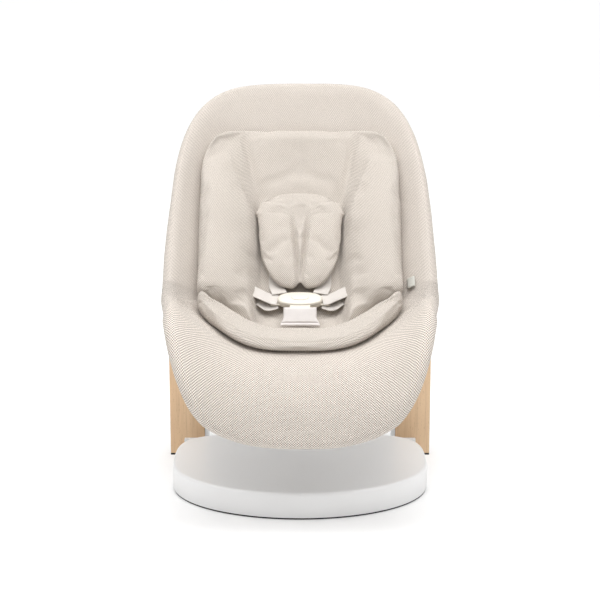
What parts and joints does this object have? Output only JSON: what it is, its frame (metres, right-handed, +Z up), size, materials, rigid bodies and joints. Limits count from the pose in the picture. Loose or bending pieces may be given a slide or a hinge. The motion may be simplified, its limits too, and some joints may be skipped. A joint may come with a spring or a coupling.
{
  "type": "bouncer seat",
  "caption": "Baby bouncer seat: a padded reclining bucket seat with newborn insert and harness, sprung on a tube between two wooden uprights behind a flat base.",
  "frame": {"origin": "on the floor, under the middle of the base's width, 153 mm behind the base's front edge", "axes": "+Z up; -Y towards the baby's foot end; +X to the right seen from the foot end"},
  "size_m": [0.472, 0.5809, 0.6607],
  "materials": {
    "white_plastic": "satin",
    "shell_plastic": "satin",
    "dark_rubber": "matte",
    "ballast_iron": "matte",
    "steel": "satin",
    "white_metal": "satin",
    "beech": "satin",
    "bush_plastic": "satin",
    "fine_knit": "matte",
    "coarse_knit": "matte",
    "insert_knit": "matte",
    "webbing": "matte",
    "cream_plastic": "gloss",
    "crotch_fabric": "matte",
    "tag_fabric": "matte"
  },
  "bodies": {
    "root": {"ballast": "ballast_iron", "base_cover": "white_plastic", "base_plate": "white_plastic", "left_base_bolt": "steel", "left_board": "beech", "left_board_screw_1": "steel", "left_board_screw_2": "steel", "left_bounce_spring": "steel", "left_flange": "white_metal", "left_flange_screw_1": "steel", "left_flange_screw_2": "steel", "left_foot_bolt": "steel", "left_foot_pad": "dark_rubber", "left_rail": "white_metal", "left_spring_cup": "white_plastic", "pivot_tube": "white_metal", "rear_crossbar": "white_metal", "right_base_bolt": "steel", "right_board": "beech", "right_board_screw_1": "steel", "right_board_screw_2": "steel", "right_bounce_spring": "steel", "right_flange": "white_metal", "right_flange_screw_1": "steel", "right_flange_screw_2": "steel", "right_foot_bolt": "steel", "right_foot_pad": "dark_rubber", "right_rail": "white_metal", "right_spring_cup": "white_plastic", "rubber_sole": "dark_rubber"},
    "hub": {"bush": "bush_plastic", "hub_core": "white_metal", "recline_ring": "steel"},
    "seat": {"seat_bracket": "white_metal", "bracket_screw_1": "steel", "bracket_screw_2": "steel", "lever_pin": "steel", "seat_shell": "shell_plastic", "seat_cover": "fine_knit", "leg_cover": "coarse_knit", "insert_back": "insert_knit", "insert_roll": "insert_knit", "fabric_tag": "tag_fabric", "harness_pad": "insert_knit", "left_shoulder_strap": "webbing", "right_shoulder_strap": "webbing", "left_waist_strap": "webbing", "right_waist_strap": "webbing", "crotch_strap": "webbing", "crotch_pad": "crotch_fabric", "shoulder_anchor": "steel", "left_waist_anchor": "steel", "right_waist_anchor": "steel", "crotch_anchor": "steel", "buckle_body": "cream_plastic", "left_tongue": "cream_plastic", "right_tongue": "cream_plastic"},
    "recline_lever": {"recline_lever": "white_plastic"},
    "lock_pawl": {"lock_pawl": "steel"},
    "buckle_button": {"buckle_button": "cream_plastic"}
  },
  "joints": [
    {"name": "bounce", "type": "hinge", "parent": "root", "child": "hub", "pos_m": [0, 0.2006, 0.345], "axis": [1, 0, 0], "range_deg": [-5, 6], "stiffness_Nm_per_rad": 120, "springref_deg": -3.84},
    {"name": "recline", "type": "hinge", "parent": "hub", "child": "seat", "pos_m": [0, 0.2006, 0.345], "axis": [1, 0, 0], "range_deg": [-25, 0]},
    {"name": "recline_lever", "type": "hinge", "parent": "seat", "child": "recline_lever", "pos_m": [0, 0.24717, 0.41547], "axis": [1, 0, 0], "range_deg": [0, 15], "stiffness_Nm_per_rad": 1, "springref_deg": -17.19},
    {"name": "lock_pawl", "type": "slide", "parent": "seat", "child": "lock_pawl", "axis": [0, 0.682, 0.7314], "range_m": [0, 0.006]},
    {"name": "buckle_button", "type": "slide", "parent": "seat", "child": "buckle_button", "axis": [0, 0.4603, -0.8878], "range_m": [0, 0.0025], "stiffness_N_per_m": 400, "springref_m": -0.002}
  ],
  "couplings": [
    {"joint": "lock_pawl", "follows": "recline_lever", "m_per_rad": 0.018}
  ]
}
